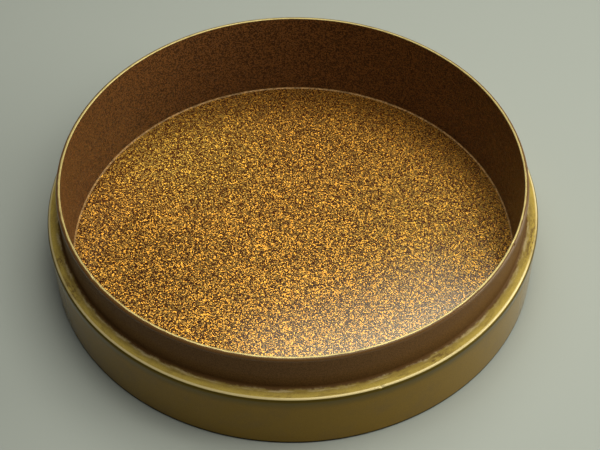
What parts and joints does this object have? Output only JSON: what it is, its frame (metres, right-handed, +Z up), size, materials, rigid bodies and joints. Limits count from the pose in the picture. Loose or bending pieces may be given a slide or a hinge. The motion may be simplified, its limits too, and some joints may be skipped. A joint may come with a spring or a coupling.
{
  "type": "incense box",
  "caption": "Low round lacquered wooden incense box, lower half, standing open: hollow bowl, flat floor, thin standing lip and a ledge for its cover.",
  "frame": {"origin": "middle of the flat underside, on the surface that the box stands on", "axes": "+Z up along the turning axis, out of the open bowl; -Y is the side seen in the picture's front"},
  "size_m": [0.0728, 0.0728, 0.0165],
  "materials": {
    "lacquer": "turned wood under glossy lacquer: gold dust outside and on the ledge, dense gold flakes on amber-brown inside, brown lip with a gold edge"
  },
  "bodies": {
    "root": {"box_base": "lacquer"}
  },
  "joints": []
}
